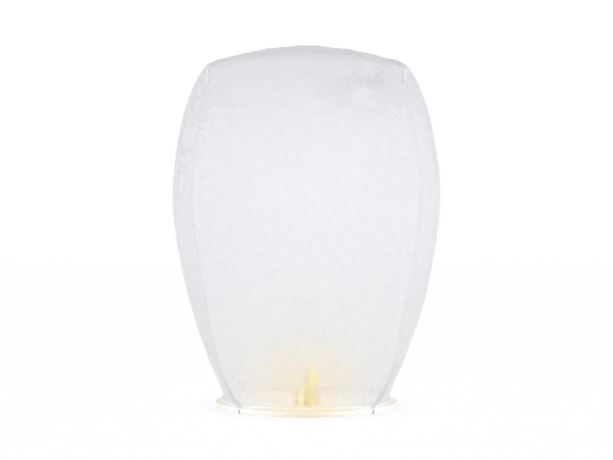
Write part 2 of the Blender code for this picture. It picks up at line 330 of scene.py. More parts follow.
def grid_faces(rows, columns, wrap=False, close=False):
    """Faces between a grid's points. wrap joins its last column to its first, close its last row."""
    index = np.arange(rows * columns).reshape(rows, columns)
    right = np.roll(index, -1, axis=1)
    if not wrap:
        index, right = index[:, :-1], right[:, :-1]
    faces = np.stack([index, right, np.roll(right, -1, axis=0), np.roll(index, -1, axis=0)], axis=-1)
    return (faces if close else faces[:-1]).reshape(-1, 4)


def mesh_object(name, points, faces, material):
    """A smooth-shaded mesh in the scene, with its points in the lantern's own frame."""
    mesh = bpy.data.meshes.new(name)
    mesh.from_pydata(np.asarray(points).reshape(-1, 3).tolist(), [], [list(face) for face in faces])
    mesh.materials.append(material)
    mesh.shade_smooth()
    obj = bpy.data.objects.new(name, mesh)
    bpy.context.scene.collection.objects.link(obj)
    return obj


def add_attributes(obj, **attributes):
    """Numbers per vertex that the materials can read: one for each vertex, or one for them all."""
    for name, values in attributes.items():
        attribute = obj.data.attributes.new(name, "FLOAT", "POINT")
        numbers = np.empty(len(obj.data.vertices), dtype=np.float32)
        numbers[:] = np.ravel(values)
        attribute.data.foreach_set("value", numbers)


def ride_squashed(obj, body):
    """The piece moves with the body and gets a mesh of its own."""
    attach(obj, body)
    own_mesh(obj)


def paper_piece(name, points, faces, material, **looks):
    """A piece of the envelope's white paper."""
    piece = mesh_object(name, points, faces, material)
    add_attributes(piece, **looks)
    return piece


# ---- paper buckled by cloth simulation ----


def add_weights(obj, name, weights):
    """A vertex group with one weight per vertex."""
    group = obj.vertex_groups.new(name=name)
    for index, weight in enumerate(weights.ravel()):
        group.add([index], float(weight), "REPLACE")


def buckled_paper():
    """How far each point of the cloth grid moves when slightly oversize paper buckles in place."""
    grid, up = envelope_grid(CLOTH_ROWS, CLOTH_COLUMNS, CLOTH_TIP_CUT)
    rows, stations = grid.shape[:2]
    normals = grid_normals(grid)
    uneven = np.random.default_rng(7).normal(0, CLOTH_START, (rows, stations, 1))
    start = grid + normals * uneven
    material = bpy.data.materials.new("cloth_stand_in")
    cloth = mesh_object("cloth_stand_in", start, grid_faces(rows, stations, wrap=True), material)

    edge = np.abs(across_gore(CLOTH_COLUMNS))[None, :]
    height = grid[..., 2]
    shoulder = bell(up[:, None], 0.80, 0.07)
    by_seam = ramp(edge, 0.4, 0.85) * ramp(height, 0.08, 0.35)
    loose = np.clip(0.7 * by_seam + 0.45 * shoulder + rumpled(grid), 0, 1)
    hold = lerp(0.75, 0.22, loose)
    hold = np.maximum(hold, 0.6 * ramp(edge, 0.94, 1.0))
    hold[:2] = 1.0
    hold[-4:] = 1.0
    add_weights(cloth, "hold", hold)

    modifier = cloth.modifiers.new("Cloth", "CLOTH")
    for name, value in CLOTH_SETTINGS.items():
        setattr(modifier.settings, name, value)
    modifier.settings.effector_weights.gravity = 0
    modifier.collision_settings.use_collision = False
    modifier.collision_settings.use_self_collision = False
    for number in range(1, CLOTH_FRAMES + 1):
        bpy.context.scene.frame_set(number)
    result = cloth.evaluated_get(bpy.context.evaluated_depsgraph_get())
    moved = np.empty(rows * stations * 3, dtype=np.float32)
    result.data.vertices.foreach_get("co", moved)
    bpy.context.scene.frame_set(1)
    bpy.data.objects.remove(cloth, do_unlink=True)
    bpy.data.materials.remove(material)
    shift = (moved.reshape(grid.shape) - grid) * lerp(0.22, 1.0, loose)[..., None]
    length = np.linalg.norm(shift, axis=-1, keepdims=True)
    return shift * np.minimum(1.0, CLOTH_CAP / np.maximum(length, 1e-9))


def resampled(values, rows, stations):
    """A grid of values on a finer grid, by cubic interpolation; stations wrap round the lantern."""

    def along(data, count, wrap):
        old = data.shape[0]
        at = np.arange(count) * old / count if wrap else np.linspace(0, old - 1, count)
        base = np.floor(at).astype(int)
        s = (at - base).reshape((-1,) + (1,) * (data.ndim - 1))
        weights = (
            (-(s**3) + 2 * s**2 - s) / 2,
            (3 * s**3 - 5 * s**2 + 2) / 2,
            (-3 * s**3 + 4 * s**2 + s) / 2,
            (s**3 - s**2) / 2,
        )
        total = 0.0
        for step, weight in zip((-1, 0, 1, 2), weights):
            index = base + step
            index = index % old if wrap else np.clip(index, 0, old - 1)
            total = total + weight * data[index]
        return total

    taller = along(values, rows, wrap=False)
    wider = along(np.swapaxes(taller, 0, 1), stations, wrap=True)
    return np.swapaxes(wider, 0, 1)


# ---- creases ----


def facets(grid, size, count, seed):
    """Flat facets with sharp edges: folded waves in several directions, bent by noise."""
    rng = np.random.default_rng(seed)
    bend = [smooth_noise(grid, size * 3.0, seed + 10 + axis) for axis in range(3)]
    bent = grid + 0.6 * size * np.stack(bend, axis=-1)
    total = 0.0
    for wave in range(count):
        direction = rng.normal(size=3)
        direction[2] *= 0.6
        direction /= np.linalg.norm(direction)
        length = size * rng.uniform(1.4, 3.2)
        phase = bent @ direction / length + rng.uniform()
        fold = np.abs(phase % 1.0 - 0.5) * 2
        strength = ramp(smooth_noise(grid, size * 2.2, seed + 40 + wave), -0.25, 0.45)
        total = total + fold * strength * length
    return total / (count * size * 2.3) - 0.25


def add_crease(height, up, side, start, end, depth, width):
    """One sharp fold from start to end, each an array (distance across from mid-gore, distance up)."""
    length = np.linalg.norm(end - start)
    along = (end - start) / length
    dx = side - start[0]
    dy = up - start[1]
    s = (dx * along[0] + dy * along[1]) / length
    t = -dx * along[1] + dy * along[0]
    window = np.sin(math.pi * np.clip(s, 0, 1)) ** 0.7 * (s > 0) * (s < 1)
    roof = np.maximum(0.0, 1 - np.abs(t) / np.where(t > 0, width, width * 0.55))
    height += depth * roof**1.7 * window


def rumpled(points):
    """0 to 1: how badly the paper is rumpled, most at the places where it was gripped."""
    total = 0.0
    for place, reach, tall, share in RUMPLES:
        offset = points - np.array(place)
        aside = np.hypot(offset[..., 0], offset[..., 1])
        total = total + share * bell(aside, 0.0, reach) * bell(offset[..., 2], 0.0, tall)
    return np.clip(total, 0.0, 1.0)


def random_creases(grid, up, side, density, turn):
    """Folds scattered over one gore, thickest where density is high."""
    kinks = [0.008 * smooth_noise(grid, 0.022, 300 + axis) for axis in (0, 1)]
    up, side = up + kinks[0], side + kinks[1]
    rng = np.random.default_rng(200 + turn)
    rows, columns = density.shape
    height = np.zeros_like(side)
    for _ in range(CREASE_TRIES):
        row = int(rng.uniform(0.06, 0.88) * rows)
        column = int(rng.uniform(0.02, 0.98) * columns)
        if rng.uniform() > density[row, column] ** 2.0:
            continue
        lean = rng.choice([-0.6, 0.0, 0.6], p=[0.35, 0.3, 0.35]) + rng.normal(0.0, 0.2)
        length = rng.uniform(0.015, 0.075)
        run = np.array([math.sin(lean), math.cos(lean)]) * length / 2
        centre = np.array([side[row, column], up[row, column]])
        depth = rng.uniform(0.0005, 0.0015) * rng.choice([-1.0, 1.0], p=[0.4, 0.6])
        depth *= lerp(0.35, 1.0, density[row, column])
        width = rng.uniform(0.0048, 0.0105)
        add_crease(height, up, side, centre - run, centre + run, depth, width)
    return height


def rim_folds(up, side):
    """A thin double fold along each end of the crown's rim, on one gore."""
    height = np.zeros_like(side)
    for hand in (-1, 1):
        for rise in RIM_FOLDS:
            start, end = (np.array([hand * out, at]) for out, at in zip(RIM_FOLD_ENDS, rise))
            add_crease(height, up, side, start, end, depth=0.0022, width=0.0042)
    return height


def hanging_fold(grid, up, side, place):
    """A soft fold that hangs down the lower middle of one gore and ends in a small dent."""
    drift = place + 0.05 * (up - 0.20) + 0.004 * smooth_noise(grid, 0.05, 41)
    fold = bell(side, drift, 0.016) * bell(up, 0.235, 0.055)
    dent = bell(side, drift + 0.004, 0.006) * bell(up, 0.178, 0.007)
    return 0.0024 * fold + 0.0016 * dent


def gathers(grid, up, reach):
    """Small pleats that run up from each wire knot, where the paper is pulled in."""
    pulled = ramp(0.055 - reach, 0.0, 0.03) * bell(up, 0.035, 0.045)
    pleat = np.sin(reach * 440 + 6.5 * smooth_noise(grid, 0.024, 31))
    return 0.0009 * pulled * pleat * (0.5 + 0.5 * smooth_noise(grid, 0.018, 32))


def crease_heights(grid, up, columns):
    """How far the creased paper stands out from the smooth envelope, in metres."""
    edge = np.broadcast_to(np.abs(across_gore(columns)), grid.shape[:2])
    level = np.broadcast_to(up[:, None], grid.shape[:2])
    z = grid[..., 2]
    by_seam = ramp(edge, 0.55, 0.92) * ramp(z, 0.05, 0.25)
    shoulder = bell(level, 0.79, 0.05)
    rumple = rumpled(grid)
    strength = np.clip(0.07 + 0.45 * by_seam + 0.40 * shoulder + rumple, 0, 1)
    patchy = 0.75 + 0.40 * smooth_noise(grid, 0.11, 3)
    broad = 0.0150 * facets(grid * WIDE_FACETS, size=0.040, count=6, seed=131)
    coarse = 0.0046 * facets(grid, size=0.028, count=6, seed=11)
    fine = 0.0010 * facets(grid, size=0.011, count=5, seed=71)
    height = strength * patchy * (broad * rumple + coarse + fine)

    density = np.clip(0.13 * by_seam + 0.10 * shoulder + rumple, 0, 1)
    gaps = point_gaps(grid)
    for turn, place in enumerate(FOLD_PLACES):
        cols = slice(turn * columns, (turn + 1) * columns)
        gore, gore_up = grid[:, cols], level[:, cols]
        side = (np.arange(columns) - columns / 2)[None, :] * gaps[:, cols].mean(axis=1)[:, None]
        scattered = random_creases(gore, gore_up, side, density[:, cols], turn)
        height[:, cols] += scattered * ramp(1 - edge[:, cols], 0.0, 0.05)
        height[:, cols] += rim_folds(gore_up, side) + hanging_fold(gore, gore_up, side, place)

    # Packing folds run level round the whole envelope, because it was shipped folded flat.
    wander = 0.0025 * smooth_noise(grid, 0.06, 21)
    faded = ramp(smooth_noise(grid, 0.05, 22), -0.5, 0.6)
    for fold_z, depth in PACKING_FOLDS:
        height -= depth * faded * np.maximum(0.0, 1 - np.abs(z + wander - fold_z) / 0.008)

    height = height + gathers(grid, level, (1 - edge) * gaps * columns / 2)
    settle = ramp(level, 0.004, 0.03) * ramp(up[-1] - level, 0.0, 0.02)
    return height * settle


# ---- paper pieces ----


def gore_looks(grid, heights):
    """What the paper's material reads at each point: painted highlights, thinness, painted flame glow
    and painted shade.
    """
    columns = grid.shape[1] // 4
    edge = np.abs(across_gore(columns))[None, :]
    z = grid[..., 2]
    rumple = rumpled(grid)

    near = sum(np.roll(heights, step, axis) for step in (-2, 2) for axis in (0, 1))
    curve = (4 * heights - near) / SHARP_CURVE
    # Crumpled facets get flat patches of painted highlight and painted shade, as if lit from one side.
    tilt = facets(grid * WIDE_FACETS, size=0.026, count=5, seed=77) + 0.07
    facet_shading = 0.15 * rumple * np.tanh(9.0 * tilt)
    crease = np.clip(curve + 5.0 * facet_shading, 0, 1)

    sideways = edge * GORE_HALF_WIDTH
    thin = ramp(z, 0.30, 0.06) * lerp(0.25, 1.0, ramp(z, 0.02, 0.075))
    thin = thin + 1.8 * bell(sideways, 0.0, 0.036) * bell(z, 0.04, 0.055)
    # Painted flame light: the paper's colour turns warm where the flame would light it from inside.
    glow = bell(sideways, 0.0, 0.118) * bell(z, 0.03, 0.110)
    glow = np.clip(glow + 0.6 * bell(sideways, 0.0, 0.10) * bell(z, 0.010, 0.009), 0, 1)

    # Painted shade: along the seams low down, over the top, in rumpled patches, just above the hem band,
    # in the valleys of folds and on facets turned from the light.
    reach = (1 - edge) * point_gaps(grid) * columns / 2
    flank = ramp(z, 0.17, 0.05) * lerp(0.3, 1.0, ramp(z, 0.012, 0.045))
    shade_patches = 0.5 + 0.5 * smooth_noise(grid, 0.045, 51)
    shade = 0.15 * bell(reach, 0.002, 0.010) * flank + 0.10 * bell(reach, 0.0, 0.004)
    shade = shade + 0.24 * ramp(z, 0.52, 0.68) + 0.24 * rumple * shade_patches
    shade = shade + 0.32 * bell(z, 0.021, 0.006)
    shade = shade + 0.38 * np.clip(-curve, 0, 1) + np.clip(-4.6 * facet_shading, 0, 1)
    return {"crease": crease, "thin": thin, "glow": glow, "shade": np.clip(shade, 0, 1)}


def make_gores(grid, heights, material):
    """One sheet per gore, which meets its neighbours along shared seam points."""
    rows, stations = grid.shape[:2]
    columns = stations // 4
    looks = gore_looks(grid, heights)
    surface = grid + grid_normals(grid) * heights[..., None]
    faces = grid_faces(rows, columns + 1)
    for turn, side in enumerate(GORES):
        index = (np.arange(columns + 1) + turn * columns) % stations
        own_looks = {name: values[:, index] for name, values in looks.items()}
        name = f"gore_{side}_paper"
        gore = paper_piece(name, surface[:, index], faces, material, **own_looks)
        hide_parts(f"gore_{side}")
        ride_squashed(gore, "base")
    return surface


def make_seams(surface, up, material):
    """The lap where two gores are glued: it lies against one gore, and its free edge lifts off."""
    rows, stations = surface.shape[:2]
    normals = grid_normals(surface)
    corner = ramp(up, 0.698, 0.708) * ramp(up, 0.748, 0.738)
    foot = ramp(up, 0.16, 0.03)
    fade = ramp(up, 0.004, 0.02) * ramp(up[-1] - up, 0.0, 0.03)
    across = np.linspace(0, 1, len(LAP_PROFILE))[None, :]
    # Painted highlight on the lap's lifted free edge, strongest at the corners.
    free_edge = ramp(across, 0.45, 0.75) * (0.12 + 0.88 * corner)[:, None]
    # Painted shadow along the fold at the corners.
    fold_shadow = bell(across, 0.25, 0.18) * corner[:, None]
    # Painted shade low down, where the doubled paper looks darker against the light behind it.
    dark_foot = (foot * lerp(0.35, 1.0, ramp(up, 0.005, 0.04)))[:, None] * (1 - 0.5 * across)
    for turn, side in enumerate(GORES):
        seam = turn * stations // 4
        line = surface[:, seam]
        outward = normals[:, seam]
        tangent = np.gradient(line, axis=0)
        tangent /= np.linalg.norm(tangent, axis=1, keepdims=True)
        flat = np.cross(outward, tangent)
        mirror = 1.0 if side in ("front", "left") else -1.0
        phase = turn * 1.7
        wave = np.sin(up * 95 + phase) + 0.6 * np.sin(up * 243 + 2.1 * phase)
        lift = 0.0006 + 0.0003 * wave * (1 - corner) + 0.0048 * corner + 0.0010 * foot
        width = 0.0022 + 0.0003 * np.sin(up * 61 + phase) * (1 - corner)
        width = width + 0.0014 * corner + 0.0055 * foot
        strip = []
        for width_share, lift_share in LAP_PROFILE:
            reach = (mirror * width_share * width * fade)[:, None]
            rise = (0.0003 + lift * lift_share * fade)[:, None]
            strip.append(line + flat * reach + outward * rise)
        points = np.stack(strip, axis=1)
        faces = grid_faces(rows, len(strip))
        looks = {"crease": free_edge, "thin": 0.0, "shade": 0.9 * fold_shadow + 0.32 * dark_foot}
        lap = paper_piece(f"seam_{side}_lap", points, faces, material, **looks)
        ride_squashed(lap, "base")


def hem_profile(steps):
    """(radius, height) round the fold: down the outer face, under the hoop and up to the lip."""
    points = gore_points()
    fold = points[(np.abs(points[:, 0]) < 1e-5) & (points[:, 2] < HEM_TOP)]
    outer, top_z = gore_lines()[0][0]
    inner = np.abs(fold[:, 1]).min() + 0.0003
    lip_z = fold[:, 2].max()
    knots = np.array([
        (outer, top_z),
        (outer + 0.0003, top_z * 0.55),
        (outer - 0.1 * HEM_CORNER, HEM_CORNER * 0.7),
        (outer - 0.7 * HEM_CORNER, 0.0006),
        ((outer + inner) / 2, 0.0003),
        (inner + 0.7 * HEM_CORNER, 0.0006),
        (inner + 0.1 * HEM_CORNER, HEM_CORNER * 0.8),
        (inner, lip_z * 0.7),
        (inner + 0.0006, lip_z),
    ])
    lengths = np.linalg.norm(np.diff(knots, axis=0), axis=1)
    at = np.concatenate([[0.0], np.cumsum(lengths)])
    return smooth_curve(at, knots, np.linspace(0.0, at[-1], steps))


def make_hems(material):
    """Each gore's lower edge, folded under the hoop and glued, with puckers beside the wires."""
    profile = hem_profile(HEM_STEPS)
    outer = profile[0, 0]
    across = np.linspace(-1, 1, HEM_COLUMNS)
    end_angle = math.pi / 4 - NOTCH / outer
    arc = across * end_angle * outer
    pucker = ramp(np.abs(across), 0.78, 0.98)
    for turn, side in enumerate(GORES):
        azimuth = (turn - 1) * math.pi / 2 + across * end_angle
        ripple = np.sin(arc * 620 + turn) * 0.5 + np.sin(arc * 1130 + 2.0 * turn) * 0.3
        gentle = np.sin(arc * 190 + 1.3 * turn) * 0.6 + np.sin(arc * 83 + turn) * 0.4
        swell = 0.0003 * gentle + 0.0016 * pucker * ripple
        lift = 0.0004 * (1 + gentle) + 0.0009 * pucker * (1 + ripple)
        rows = []
        for share, (radius, z) in zip(np.linspace(0, 1, HEM_STEPS), profile):
            free = math.sin(math.pi * share)
            ring = radius + (-swell if share > 0.6 else swell) * free
            rows.append(polar(ring, azimuth, z + lift * free * (z > 0.001)))
        faces = grid_faces(HEM_STEPS, HEM_COLUMNS)
        # Painted flame glow along the hem, strongest mid-gore, and a little painted highlight all over.
        glow = HEM_PAINTED_GLOW[side] * np.tile(bell(arc, 0.0, HEM_GLOW), HEM_STEPS)
        looks = {"crease": 0.2, "thin": 1, "glow": glow}
        hem = paper_piece(f"hem_{side}", np.array(rows), faces, material, **looks)
        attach(hem, "base")


def make_hem_bands(surface, material):
    """The strip above the hoop where the folded edge is glued back on the gore and doubles it."""
    columns = surface.shape[1] // 4
    normals = grid_normals(surface)
    top = int(np.searchsorted(surface[:, columns // 2, 2], BAND_TOP))
    across = across_gore(columns)[:columns]
    inside = np.flatnonzero(np.abs(across) < 0.95)
    arc = across[inside] * HEM_HALF_WIDTH
    for turn, side in enumerate(GORES):
        index = inside + turn * columns
        points = surface[:top, index] + 0.0004 * normals[:top, index]
        faces = grid_faces(top, len(index))
        # Painted flame glow along the band, and a little painted highlight all over.
        glow = HEM_PAINTED_GLOW[side] * np.tile(bell(arc, 0.0, HEM_GLOW), top)
        looks = {"crease": 0.15, "thin": 1, "glow": glow}
        band = paper_piece(f"hem_{side}_band", points, faces, material, **looks)
        ride_squashed(band, "base")


def make_crown_patch(material):
    """A round patch of paper, glued over the four gore tips and pulled into fine radial folds."""
    low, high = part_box("crown_patch")
    radius, crown_z = high[0], high[2]
    rings, spokes = 26, 160
    slope = (crown_z - 0.0003 - low[2]) / radius
    azimuth = np.arange(spokes) / spokes * 2 * math.pi
    torn = 1 + 0.018 * np.sin(azimuth * 7 + 1) + 0.012 * np.sin(azimuth * 17)
    points = []
    for ring in range(rings):
        share = (ring + 0.15) / (rings - 0.85)
        r = radius * 0.97 * share * lerp(1.0, torn, share**4)
        fold = np.sin(azimuth * 12 + 2 * np.sin(azimuth * 2)) * 0.00035 * share
        curl = 0.0006 * share**8 * (1 + np.sin(azimuth * 5))
        z = crown_z - 0.0004 - slope * r * share**0.4 * 0.55 + fold + curl - 0.00045 * (1 - share)
        points.append(polar(r, azimuth, z))
    points = np.array(points)
    centre = points[0].mean(axis=0)
    faces = grid_faces(rings, spokes, wrap=True)[:, ::-1].tolist()
    middle = [[rings * spokes, spoke, (spoke + 1) % spokes] for spoke in range(spokes)]
    points = np.vstack([points.reshape(-1, 3), centre])
    patch = mesh_object("crown_patch_paper", points, faces + middle, material)
    # A little painted highlight all over the patch.
    add_attributes(patch, crease=0.3, thin=0.0)
    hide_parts("crown_patch")
    ride_squashed(patch, "crown")


# ---- fuel cell ----


def card_sheet(layer, half, bottom, thickness, rng):
    """One square of card: rings of points from its hole out over its edge and back to the hole."""
    twist = rng.normal(0, 0.018) if layer else 0.0
    inset = rng.uniform(0.0006, 0.0018)
    top = bottom + thickness - CARD_GAP
    profile = (
        (0.0, bottom),
        (0.90, bottom),
        (0.985, bottom + 0.25 * thickness),
        (1.0, bottom + 0.5 * thickness),
        (0.985, top - 0.25 * thickness),
        (0.90, top),
        (0.0, top),
    )
    angle = 2 * math.pi * np.arange(CARD_POINTS) / CARD_POINTS
    edge = (half - inset) / (np.abs(np.cos(angle)) ** 7 + np.abs(np.sin(angle)) ** 7) ** (1 / 7)
    edge *= 1 + 0.006 * np.sin(9 * angle + layer * 2) + 0.004 * np.sin(23 * angle + layer)
    between = 0 < layer < CARD_LAYERS - 1
    slump = 0.0004 * np.sin(3 * angle + layer) * between
    turned = angle + twist
    rings = [polar(lerp(CARD_HOLE, edge, share), turned, z + slump * share) for share, z in profile]
    return np.array(rings)


def make_fuel_stack(material):
    """Squares of waxed card stacked about the tie wire, soft at the edges and slumped by heat."""
    low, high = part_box("fuel_block")
    thickness = (high[2] - low[2]) / CARD_LAYERS
    rng = np.random.default_rng(31)
    points, faces = [], []
    for layer in range(CARD_LAYERS):
        sheet = card_sheet(layer, high[0], low[2] + layer * thickness, thickness, rng)
        sheet_faces = grid_faces(len(sheet), CARD_POINTS, wrap=True, close=True)
        faces.extend(sheet_faces + layer * len(sheet) * CARD_POINTS)
        points.append(sheet)
    stack = mesh_object("fuel_card_stack", np.array(points), faces, material)
    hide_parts("fuel_block")
    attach(stack, "fuel")
    return high[2]


def make_flame(name, outline, forward, material, base_z, turn):
    """A tongue of flame: a closed tube whose sections follow an outline from its base to its tip.

    forward is how far the tongue's base stands towards -Y. The tongue leans back over the block as
    it rises. turn is the number of quarter turns by which all of it is moved round the block.
    """
    knots = np.linspace(0, 1, len(FLAMES[outline]))
    levels = np.linspace(0, 1, FLAME_STEPS)
    sections = smooth_curve(knots, np.array(FLAMES[outline]) / 1000, levels)
    angle = 2 * math.pi * np.arange(FLAME_SIDES) / FLAME_SIDES
    rows = []
    for share, (x, height, width, depth) in zip(levels, sections):
        ripple = 1 + 0.09 * np.sin(3 * angle + 9 * share) * share
        ripple = ripple + 0.04 * np.sin(5 * angle - 6 * share)
        lean = min(max(height, 0.0) * forward / LEAN_HEIGHT, forward)
        out_x = x + max(width, 0.0002) * ripple * np.cos(angle)
        out_y = max(depth, 0.0002) * ripple * np.sin(angle) - forward + lean
        out_y = out_y + 0.0012 * math.sin(7 * share)
        ring = (*quarter_turned(out_x, out_y, turn), np.full(FLAME_SIDES, base_z + height))
        rows.append(np.stack(ring, axis=-1))
    faces = grid_faces(FLAME_STEPS, FLAME_SIDES, wrap=True).tolist()
    faces.append(list(range(FLAME_SIDES))[::-1])
    faces.append([(FLAME_STEPS - 1) * FLAME_SIDES + side for side in range(FLAME_SIDES)])
    tongue = mesh_object(name, np.array(rows), faces, material)
    add_attributes(tongue, height=np.repeat(levels, FLAME_SIDES))
    ride_squashed(tongue, "fuel")


def make_flames(block_top):
    """Tongues lick up all four sides of the block, brightest in front, and wisps trail off above."""
    yellow = flame_material("flame_yellow", (1.0, 0.82, 0.10), (1.0, 0.86, 0.16), 1.08, -0.35, 0.0)
    pale = flame_material("flame_pale", (1.0, 0.91, 0.46), (1.0, 0.90, 0.40), 1.04, -0.3, 0.0)
    amber = flame_material("flame_amber", (0.74, 0.56, 0.17), (1.0, 0.86, 0.30), 0.93, -0.4, 0.0)
    blush = flame_material("flame_blush", (0.88, 0.66, 0.38), (0.93, 0.75, 0.48), 0.92, 0.42, 0.55)
    tongues = [
        ("core", "core", 0.0270, amber, 0),
        ("lobe_left", "left", 0.0290, pale, 0),
        ("lobe_upper", "upper", 0.0060, yellow, 0),
        ("lobe_right", "right", 0.0250, blush, 0),
        ("foot", "foot", 0.0310, yellow, 0),
    ]
    for turn, side in ((1, "right"), (2, "back"), (3, "left")):
        skirt = amber if side == "back" else blush
        tongues.append((f"{side}_core", "core", 0.0262, skirt, turn))
        tongues.append((f"{side}_lobe", "left", 0.0265, skirt, turn))
        tongues.append((f"{side}_foot", "right", 0.0262, blush, turn))
    tongues.append(("wisp_left", "wisp_left", 0.0, blush, 0))
    tongues.append(("wisp_middle", "wisp_middle", 0.0, yellow, 0))
    for name, outline, forward, material, turn in tongues:
        make_flame(f"flame_{name}", outline, forward, material, block_top, turn)


# ---- material nodes ----


def maths_method(operation, swapped=False):
    """A method of Number that adds a maths node, with the two numbers swapped if it says so."""

    def method(self, other):
        made = self.tree.nodes.new("ShaderNodeMath")
        made.operation = operation
        set_input(self.tree, made.inputs[1 if swapped else 0], self)
        set_input(self.tree, made.inputs[0 if swapped else 1], other)
        return Number(self.tree, made.outputs[0])

    return method


class Number:
    """A number in a node tree. A formula written with it becomes maths nodes."""

    def __init__(self, tree, socket):
        self.tree = tree
        self.socket = socket

    __add__ = maths_method("ADD")
    __sub__ = maths_method("SUBTRACT")
    __rsub__ = maths_method("SUBTRACT", swapped=True)
    __mul__ = maths_method("MULTIPLY")
    __truediv__ = maths_method("DIVIDE")
    __pow__ = maths_method("POWER")
    larger = maths_method("MAXIMUM")
    above = maths_method("GREATER_THAN")  # 1 where this number is above the other, and 0 elsewhere

    def clamped(self):
        """Keeps the result of the sum just made between 0 and 1."""
        self.socket.node.use_clamp = True
        return self


def set_input(tree, socket, value):
    """Gives a node's input another node's output, a colour, a vector or a plain number."""
    if isinstance(value, Number):
        value = value.socket
    if isinstance(value, bpy.types.NodeSocket):
        tree.links.new(value, socket)
    else:
        socket.default_value = (*value, 1.0) if socket.type == "RGBA" else value


def add_node(tree, kind, **inputs):
    """A shader node whose inputs are given by name, with _ for each space."""
    made = tree.nodes.new("ShaderNode" + kind)
    for name, value in inputs.items():
        set_input(tree, made.inputs[name.replace("_", " ")], value)
    return made


def new_material(name):
    material = bpy.data.materials.new(name)
    material.use_nodes = True
    material.node_tree.nodes.clear()
    return material, material.node_tree


def finished(material, shader):
    add_node(material.node_tree, "OutputMaterial", Surface=shader)
    return material


def object_coords(tree, scale=(1, 1, 1), rotation=(0, 0, 0)):
    coords = add_node(tree, "TexCoord").outputs["Object"]
    return add_node(tree, "Mapping", Vector=coords, Scale=scale, Rotation=rotation).outputs[0]


def point_height(tree):
    split = add_node(tree, "SeparateXYZ", Vector=object_coords(tree))
    return Number(tree, split.outputs["Z"])


def attribute(tree, name):
    """A number that add_attributes gave to the piece's points."""
    made = tree.nodes.new("ShaderNodeAttribute")
    made.attribute_name = name
    return Number(tree, made.outputs["Fac"])


def edge_on(tree, blend):
    """0 where the surface faces the viewer, rising to 1 where it is seen edge-on."""
    return Number(tree, add_node(tree, "LayerWeight", Blend=blend).outputs["Facing"])


def camera_ray(tree):
    """1 for what the camera sees directly, and 0 for light that the scene throws back."""
    return Number(tree, add_node(tree, "LightPath").outputs["Is Camera Ray"])


def noise(tree, scale, detail=4.0, roughness=0.55, distortion=0.0, stretch=(1, 1, 1), turned=(0, 0, 0)):
    """Noise with this many waves per metre, times stretch along each axis and then turned."""
    coords = object_coords(tree, stretch, turned)
    values = {"Scale": scale, "Detail": detail, "Roughness": roughness, "Distortion": distortion}
    return Number(tree, add_node(tree, "TexNoise", Vector=coords, **values).outputs["Fac"])


def colour_ramp(tree, value, stops):
    made = add_node(tree, "ValToRGB", Fac=value)
    elements = made.color_ramp.elements
    while len(elements) < len(stops):
        elements.new(0.5)
    for element, (position, colour) in zip(elements, stops):
        element.position = position
        element.color = (*colour, 1.0)
    return made.outputs["Color"]


def mix_colour(tree, factor, a, b):
    made = tree.nodes.new("ShaderNodeMix")
    made.data_type = "RGBA"
    for socket, value in ((made.inputs[0], factor), (made.inputs[6], a), (made.inputs[7], b)):
        set_input(tree, socket, value)
    return made.outputs[2]


def mix_shader(tree, factor, a, b):
    made = tree.nodes.new("ShaderNodeMixShader")
    for socket, value in zip(made.inputs, (factor, a, b)):
        set_input(tree, socket, value)
    return made.outputs[0]


def bump(tree, height, strength, distance):
    made = add_node(tree, "Bump", Height=height, Strength=strength, Distance=distance)
    return made.outputs["Normal"]


def principled(tree, colour, roughness, normal, **values):
    values.update(Base_Color=colour, Roughness=roughness, Normal=normal)
    return add_node(tree, "BsdfPrincipled", **values).outputs[0]


# ---- materials ----


def tissue_material(
    name, tint, see_through, thinner=0.0, warm=(0.955, 0.845, 0.600),
    painted_glow=None, highlight_whiteness=0.19, through_share=0.42, grazing_power=1.6,
):
    """Thin mulberry tissue: cloudy fibres that scatter light, let some through and show creases.

    see_through is how open the paper is, and thinner how much its "thin" attribute adds to that.
    warm is its painted colour in the flame's light, which fades where the paper is seen edge-on, the
    faster the higher grazing_power is. painted_glow is the painted light it gives off by itself, away
    from the flame's glow and in it. highlight_whiteness is how far its creases, lit facets and lap edges
    are painted lighter, and through_share how much it lights up from behind.
    """
    material, tree = new_material(name)
    clouds = noise(tree, 55, 5, 0.6)
    long_fibres = noise(tree, 1, 3, 0.6, 1.2, stretch=(900, 900, 130), turned=(0.3, 0.5, 0.2))
    cross_fibres = noise(tree, 1, 3, 0.6, 1.0, stretch=(240, 240, 900), turned=(0.9, 0.2, 1.1))
    fibres = long_fibres.larger(cross_fibres)
    crease = attribute(tree, "crease")
    grazing = edge_on(tree, 0.5)

    density = (clouds - 0.5) * 0.35 + (fibres - 0.55) * 0.6
    openness = attribute(tree, "thin") * thinner + see_through
    openness = (openness - density * 0.25) * (1.0 - grazing * 0.75)
    openness = (openness - crease * 0.10).clamped()

    darker = tuple(channel * 0.93 for channel in tint)
    colour = mix_colour(tree, (density * 0.5 + 0.5).clamped(), darker, tint)
    # Painted highlight on creases, lit facets and lap edges.
    colour = mix_colour(tree, crease * highlight_whiteness, colour, (0.98, 0.98, 0.985))
    # Painted shade, towards a grey violet.
    colour = mix_colour(tree, attribute(tree, "shade") * 0.5, colour, (0.60, 0.59, 0.63))
    # Painted flame light, fading where the paper is seen edge-on.
    glow = attribute(tree, "glow") * (1.0 - grazing).clamped() ** grazing_power
    colour = mix_colour(tree, glow, colour, warm)

    # Painted glow: the paper gives off light by itself, warmer in the flame's glow.
    own_light = {}
    if painted_glow:
        away, near = painted_glow
        own_light["Emission_Color"] = mix_colour(tree, glow, WHITE, (1.0, 0.84, 0.60))
        own_light["Emission_Strength"] = glow * (near - away) + away
    normal = bump(tree, fibres * 0.6 + clouds * 0.5, 0.35, 0.0006)
    roughness = clouds * 0.25 + 0.5
    front = principled(tree, colour, roughness, normal, Specular_IOR_Level=0.25, **own_light)
    through = add_node(tree, "BsdfTranslucent", Color=colour, Normal=normal).outputs[0]
    body = mix_shader(tree, through_share, front, through)
    hole = add_node(tree, "BsdfTransparent").outputs[0]
    return finished(material, mix_shader(tree, openness, body, hole))


